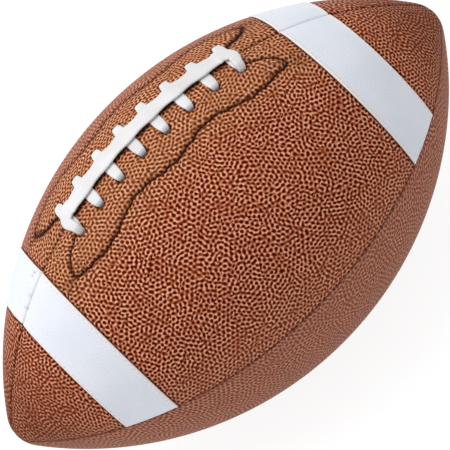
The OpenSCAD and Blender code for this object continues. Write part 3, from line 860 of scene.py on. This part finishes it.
def lace_route():
    """The whole route of the lace from its first inner end to its last."""
    last = BAR_COUNT - 1
    front = [-HOLE_Y + (i in (0, last)) * PAIR_OFF for i in range(BAR_COUNT)]
    upper, inner, deep = BAR_H - BEND_R, INNER_H + BEND_R, DEEP_H + BEND_R
    tail = np.array([0.5, 1]) * LACE_TAIL
    across = np.array([-0.45, 0, 0.45]) * 2 * HOLE_Y * 0.7
    under = np.array([0.4, 0, -0.4]) * 2 * HOLE_Y * 0.8
    rows = [
        flat_rows(BARS[0], front[0] + BEND_R + tail[::-1], INNER_H),
        rise(BARS[0], front[0], 1, INNER_H, inner)[::-1],
    ]
    for i, x in enumerate(BARS):
        rows += [
            rise(x, front[i], 1, BAR_H, upper, width=BAR_TIP_W),
            flat_rows(x, across, BAR_H),
            rise(x, HOLE_Y, -1, BAR_H, upper, width=BAR_TIP_W)[::-1],
        ]
        if i < last:
            rows += [
                rise(x, HOLE_Y, -1, INNER_H, inner),
                inner_rows(x, HOLE_Y - front[i + 1] - 2 * BEND_R),
                rise(BARS[i + 1], front[i + 1], 1, INNER_H, inner)[::-1],
            ]
    outer = -HOLE_Y - PAIR_OFF
    wrap = BEND_R + 2 * PAIR_OFF
    steps = np.arange(1, 2 * BAR_COUNT - 2)
    between = steps % 2
    width = SPINE_W + np.where(between, SPREAD_BETWEEN, SPREAD_ON_BAR)
    rows += [
        rise(BARS[-1], HOLE_Y, -1, DEEP_H, deep),
        flat_rows(BARS[-1], under, DEEP_H),
        rise(BARS[-1], outer, 1, DEEP_H, deep)[::-1],
        rise(BARS[-1], outer, 1, SPINE_H, upper, 0, BAR_TIP_W, wrap),
        corner_rows(1),
        flat_rows(LAST_BAR - steps * BAR_PITCH / 2, 0.0, SPINE_H - between * SPINE_SAG, 90, width),
        corner_rows(-1)[::-1],
        rise(BARS[0], outer, 1, SPINE_H, upper, 180, BAR_TIP_W, wrap)[::-1],
        rise(BARS[0], outer, 1, DEEP_H, deep, 180),
        flat_rows(BARS[0], outer + BEND_R + tail, DEEP_H, 180),
    ]
    return np.concatenate(rows)


def resample(rows, times):
    """A smooth curve through the rows, by Catmull-Rom, cut into more steps and without repeated rows."""
    step = np.linalg.norm(np.diff(rows[:, :3], axis=0), axis=1)
    rows = rows[np.append(True, step > 1e-6)]
    ends = np.concatenate([2 * rows[:1] - rows[1:2], rows, 2 * rows[-1:] - rows[-2:-1]])
    q = (np.arange(times) / times)[None, :, None]
    a, b, c, d = (part[:, None, :] for part in (ends[:-3], ends[1:-2], ends[2:-1], ends[3:]))
    slope = (c - a) * q
    square = (2 * a - 5 * b + 4 * c - d) * q**2
    cube = (3 * b - a - 3 * c + d) * q**3
    curve = 0.5 * (2 * b + slope + square + cube)
    return np.concatenate([curve.reshape(-1, rows.shape[1]), rows[-1:]])


def lace_frames(rows):
    """Places on the ball of the route's rows, with the directions of the lace's width and of its face."""
    x, y, height, turned = rows[:, 0], rows[:, 1], rows[:, 2], np.radians(rows[:, 3])
    tilt = np.arcsin(x / MAIN_R)
    turn = y / BALL_R
    sin_turn, cos_turn = np.sin(turn), np.cos(turn)
    reach = (MAIN_R + height) * np.cos(tilt) - MAIN_DROP
    places = np.stack([(MAIN_R + height) * np.sin(tilt), reach * sin_turn, reach * cos_turn], axis=-1)
    along = np.stack([np.cos(tilt), -np.sin(tilt) * sin_turn, -np.sin(tilt) * cos_turn], axis=-1)
    around = np.stack([np.zeros_like(turn), cos_turn, -sin_turn], axis=-1)
    wide = np.cos(turned)[:, None] * along + np.sin(turned)[:, None] * around
    forward = np.gradient(places, axis=0)
    up = unit(np.cross(forward, wide))
    return places + (0, 0, BALL_R), unit(np.cross(up, forward)), up


def make_lace(material):
    """The lace as one tube along its route, its section a flat superellipse with round shoulders."""
    sides = 24
    shoulder = 0.7
    rows = resample(lace_route(), ROUTE_STEPS)
    places, wide, up = lace_frames(rows)
    angle = 2 * np.pi * np.arange(sides) / sides
    flat, thick = (np.sign(wave) * np.abs(wave) ** shoulder for wave in (np.cos(angle), np.sin(angle)))
    grid = (
        places[:, None, :]
        + (rows[:, 4:5] / 2 * flat)[:, :, None] * wide[:, None, :]
        + (rows[:, 5:6] / 2 * thick)[:, :, None] * up[:, None, :]
    )
    points, faces = tube_mesh(grid)
    run = np.append(0, np.cumsum(np.linalg.norm(np.diff(places, axis=0), axis=1)))
    laid = np.stack(np.broadcast_arrays(run[:, None], rows[:, 4:5] / 2 * flat, 0.0), axis=-1) * MM
    piece = make_piece("flat_lace", points, faces, material, True, {"grain": with_ends(laid)})
    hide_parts("lace")


def stripe_band(name, front, right, material):
    """One stripe from seam to seam: a top with raised pressed edges, rounded sides and an under face."""
    first = STRIPE_IN + PLY_GAP
    last = STRIPE_OUT - PLY_GAP
    x_top = spread([first, first + RIM_W * 1.5, last - RIM_W * 1.5, last], [9, 24, 9])
    x_under = spread([last, first], [10])[1:-1]
    x_all = np.concatenate([x_top, [last], x_under, [first]])
    edge_gap = np.minimum(x_top - first, last - x_top)
    rim = RIM_RISE * bump_shape(edge_gap - RIM_W * CREST_OUT, CREST_W)
    rounding = STRIPE_STAND * (1 - smooth_step(edge_gap, -0.1, 0.3)) * 0.8
    under = np.full(len(x_under) + 2, STRIPE_STAND - STRIPE_T)
    rise_all = np.concatenate([STRIPE_STAND + (rim - rounding), under])
    edge_all = np.concatenate([bump_shape(edge_gap - RIM_W * 0.5, 0.62), np.ones(len(under))])
    s_all = meridian(x_all)
    radius = outline(s_all)[1]
    turns = quarter_turns(radius, np.linspace(0, 1, 90))[1].T
    s_grid = np.broadcast_to(s_all[None, :], turns.shape)
    near = radius[None, :] * np.sin(turns)
    far = radius[None, :] * np.cos(turns)
    drop = 0.0
    for distance, bend_r, valley in ((near, EDGE_R, VALLEY_DEPTH), (far, SIDE_EDGE_R, SIDE_VALLEY_DEPTH)):
        drop = drop + edge_bend(distance, bend_r) + valley * bump_shape(distance, VALLEY_W)
    puckers = () if right else STRIPE_PUCKERS[front]
    gather = np.zeros(turns.shape)
    for place, off, strength in puckers:
        across = bump_shape(s_grid - s_all[0] - place, GATHER_W)
        gather += strength * across * bump_shape(near - off, GATHER_L)
    height = rise_all[None, :] - drop - GATHER_DEPTH * gather
    way = 1 if right else -1
    points, faces = tube_mesh(on_ball(way * s_grid, turns, height, front))
    edge = np.broadcast_to(edge_all[None, :], turns.shape)
    # painted shade along both seams, and in the puckers, which are partly cracked coating
    seams = 0.2 * bump_shape(near, 0.3) + 0.4 * bump_shape(far, 0.4)
    shade = np.clip(GATHER_SHADE * gather + seams, 0, 1)
    marks = {"edge": edge, "shade": shade, "grain": flat_places(way * s_grid, turns)}
    marks = {mark: with_ends(values) for mark, values in marks.items()}
    piece = make_piece(name, points, faces, material, front != right, marks)
    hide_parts(name.replace("_band", "_stripe"))


def stitch_run(name, places, length, width, lift, material):
    """Stitches as arched beads, their two ends going down into what they hold.

    With q from -1 to 1 along a bead, it is thick by sqrt(1 - 0.75 q^2) and lifted by 1 - 1.6 q^2."""
    rings = 7
    sides = 6
    centres, forward, outward = places
    share = np.linspace(-1, 1, rings)[None, :, None, None]
    angle = (2 * np.pi * np.arange(sides) / sides)[None, None, :, None]
    thick = width / 2 * np.sqrt(1 - 0.75 * share**2)
    side = np.cross(forward, outward)
    centres, forward, side, outward = (part[:, None, None, :] for part in (centres, forward, side, outward))
    grid = (
        centres
        + share * length / 2 * forward
        + thick * np.cos(angle) * side
        + (lift * (1 - 1.6 * share**2) + thick * np.sin(angle)) * outward
    )
    starts = np.arange(len(grid))[:, None] * rings * sides
    quads = (starts[:, :, None] + grid_faces(rings, sides)[None]).reshape(-1, 4)
    first = starts + np.arange(sides)[None]
    last = starts + (rings - 1) * sides + np.arange(sides)[None, ::-1]
    make_piece(name, grid.reshape(-1, 3), [quads, first, last], material)


def stitch_places(s, turn, lift, front):
    """Centres, directions and outward directions of stitches between neighbouring places of a path."""
    ends = on_ball(s, turn, lift, front)
    above = on_ball(s, turn, lift + 1.0, front)
    forward = unit(ends[1:] - ends[:-1])
    outward = unit((above - ends)[1:] + (above - ends)[:-1])
    outward = unit(outward - (outward * forward).sum(-1, keepdims=True) * forward)
    return (ends[1:] + ends[:-1]) / 2, forward, outward


def even_points(chain, pitch):
    """Places an even pitch apart along a chain of corners."""
    run = np.append(0, np.cumsum(np.linalg.norm(np.diff(chain, axis=0), axis=1)))
    marks = np.linspace(0, run[-1], int(round(run[-1] / pitch)) + 1)
    return np.stack([np.interp(marks, run, chain[:, 0]), np.interp(marks, run, chain[:, 1])], axis=-1)


def facing_stitches(name, front, material):
    """Thread in the sewn line of one facing."""
    pitch = 3.0
    length, width, lift = 2.5, 0.5, 0.12
    corners = even_points(sewn_line(), pitch)
    s = meridian(corners[:, 0])
    turn = corners[:, 1] / outline(s)[1]
    height = cover_height(s, turn, True, front)[0]
    stitch_run(name, stitch_places(s, turn, height, front), length, width, lift, material)


def stripe_stitches(name, front, right, material):
    """Two rows of fine stitches, one on each pressed edge of a stripe."""
    pitch = 2.6
    from_seam = 3.2
    length, width, lift = 1.7, 0.36, 0.1
    parts = []
    for x in (STRIPE_IN + RIM_W, STRIPE_OUT - RIM_W):
        s = meridian(x)
        radius = float(outline(np.array(s))[1])
        gap = from_seam / radius
        turn = np.linspace(gap, QUARTER - gap, int((QUARTER - 2 * gap) * radius / pitch))
        valleys = bump_shape(radius * np.sin(turn), VALLEY_W) + bump_shape(radius * np.cos(turn), VALLEY_W)
        height = STRIPE_STAND - VALLEY_DEPTH * valleys
        parts.append(stitch_places(np.full_like(turn, s if right else -s), turn, height, front))
    places = [np.concatenate(rows) for rows in zip(*parts)]
    stitch_run(name, places, length, width, lift, material)


def seen_share(tree):
    """1 for rays from the camera, a reflection or through glass."""
    path = tree.add("ShaderNodeLightPath").outputs
    either = tree.math("MAXIMUM", path["Is Camera Ray"], path["Is Glossy Ray"])
    return tree.math("MAXIMUM", either, path["Is Transmission Ray"])


def grey(value):
    """A linear grey as RGBA."""
    return (value, value, value, 1)


def set_light():
    """A large soft lamp over the ball and an even world; white for the camera, plain light for the rest."""
    world_strength = 0.58
    lamp = bpy.data.lights.new("soft_lamp", "AREA")
    lamp.shape = "SQUARE"
    lamp.size = 1.0
    lamp.energy = 9.6
    holder = bpy.data.objects.new("soft_lamp", lamp)
    place = Vector((-0.3, 0.25, 1.2))
    aim = (Vector((0, 0, BALL_R * MM)) - place).to_track_quat("-Z", "Y")
    holder.matrix_world = Matrix.Translation(place) @ aim.to_matrix().to_4x4()
    bpy.context.scene.collection.objects.link(holder)
    world = bpy.data.worlds.new("studio")
    world.use_nodes = True
    bpy.context.scene.world = world
    tree = Tree(world.node_tree)
    tree.tree.nodes.clear()
    seen = seen_share(tree)
    light = tree.add("ShaderNodeBackground", {"Color": grey(1), "Strength": world_strength}).outputs[0]
    white = tree.add("ShaderNodeBackground", {"Color": grey(1), "Strength": 1.0}).outputs[0]
    both = tree.add("ShaderNodeMixShader", {0: seen, 1: light, 2: white}).outputs[0]
    tree.add("ShaderNodeOutputWorld", {"Surface": both})


def set_floor():
    """A plain pale floor that shows white and keeps a soft shadow."""
    material = bpy.data.materials.new("pale_floor")
    material.use_nodes = True
    tree = Tree(material.node_tree)
    tree.tree.nodes.clear()
    matt = tree.add("ShaderNodeBsdfDiffuse", {"Color": grey(0.88)}).outputs[0]
    faint = tree.add("ShaderNodeBsdfDiffuse", {"Color": grey(0.2)}).outputs[0]
    white = tree.add("ShaderNodeEmission", {"Color": grey(0.89), "Strength": 1.0}).outputs[0]
    shown = tree.add("ShaderNodeAddShader", {0: faint, 1: white}).outputs[0]
    both = tree.add("ShaderNodeMixShader", {0: seen_share(tree), 1: matt, 2: shown}).outputs[0]
    tree.add("ShaderNodeOutputMaterial", {"Surface": both})
    half = 3.0
    corners = [(-half, -half, 0), (half, -half, 0), (half, half, 0), (-half, half, 0)]
    mesh = bpy.data.meshes.new("floor")
    mesh.from_pydata(corners, [], [(0, 1, 2, 3)])
    mesh.materials.append(material)
    floor = bpy.data.objects.new("floor", mesh)
    bpy.context.scene.collection.objects.link(floor)


def both_ways(half):
    """Lines along the whole ball from those of its right half, which start at 0."""
    return np.concatenate([-half[:0:-1], half])


set_camera()
set_light()
set_floor()
pebble_group()

LEATHER = cover_leather()
STRIPE = stripe_leather()
LACE = lace_rubber()
DARK_THREAD = thread_material("dark")
WHITE_THREAD = thread_material("white")
FACING = cloth_material("facing", pitch=1.1)

# Materials of the CAD solids that show as they are, by the last word of their names
FINISHES = {
    "lining": cloth_material("lining", pitch=0.9),
    "thread": DARK_THREAD,
    "facing": FACING,
    "tongue": FACING,
    "bladder": rubber_material("bladder"),
    "housing": rubber_material("valve"),
    "core": rubber_material("valve_core"),
}
for node_name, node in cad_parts.items():
    finish = FINISHES.get(node_name.split("_")[-1])
    if finish:
        for material_slot in node.material_slots:
            material_slot.material = finish

# Lines along the ball and shares across a panel: close together where its relief is fine
stripe_from = meridian(STRIPE_IN)
stripe_to = meridian(STRIPE_OUT)
stripe_stops = [stripe_from - 1, stripe_from + 0.6, stripe_to - 0.6, stripe_to + 1]
tip_stops = [148, END_S - 0.25]
LACED_LINES = both_ways(spread([0, 68, *stripe_stops, *tip_stops], [142, 7, 6, 8, 6, 52, 18]))
LACED_BULK = spread([0, 0.245, 1], [66, 58])
PLAIN_LINES = both_ways(spread([0, 6, *tip_stops], [14, 112, 18]))
PLAIN_BULK = spread([0, 0.45, 0.55, 1], [34, 26, 34])

hole = {"radius": HOLE_D / 2, "depth": COVER_T + 1.2, "snap": 0.32}
hole_cups = [{"centre": (meridian(x), HOLE_Y / BALL_R), **hole} for x in BARS]
valve_cup = {
    "centre": (0.0, math.pi / 4),
    "radius": NECK_D / 2 + VALVE_GAP,
    "depth": COVER_T + 0.6,
    "snap": 0.34,
}

cover_panel("front_lace_cover", True, True, LACED_LINES, LACED_BULK, hole_cups, LEATHER)
cover_panel("back_lace_cover", False, True, LACED_LINES, LACED_BULK, hole_cups, LEATHER)
cover_panel("front_lower_cover", True, False, PLAIN_LINES, PLAIN_BULK, [], LEATHER)
cover_panel("back_lower_cover", False, False, PLAIN_LINES, PLAIN_BULK, [valve_cup], LEATHER)
make_lace(LACE)
for front in (True, False):
    side = "front" if front else "back"
    facing_stitches(f"{side}_facing_stitches", front, DARK_THREAD)
    for right in (False, True):
        end = "right" if right else "left"
        stripe_band(f"{side}_{end}_band", front, right, STRIPE)
        stripe_stitches(f"{side}_{end}_stripe_stitches", front, right, WHITE_THREAD)
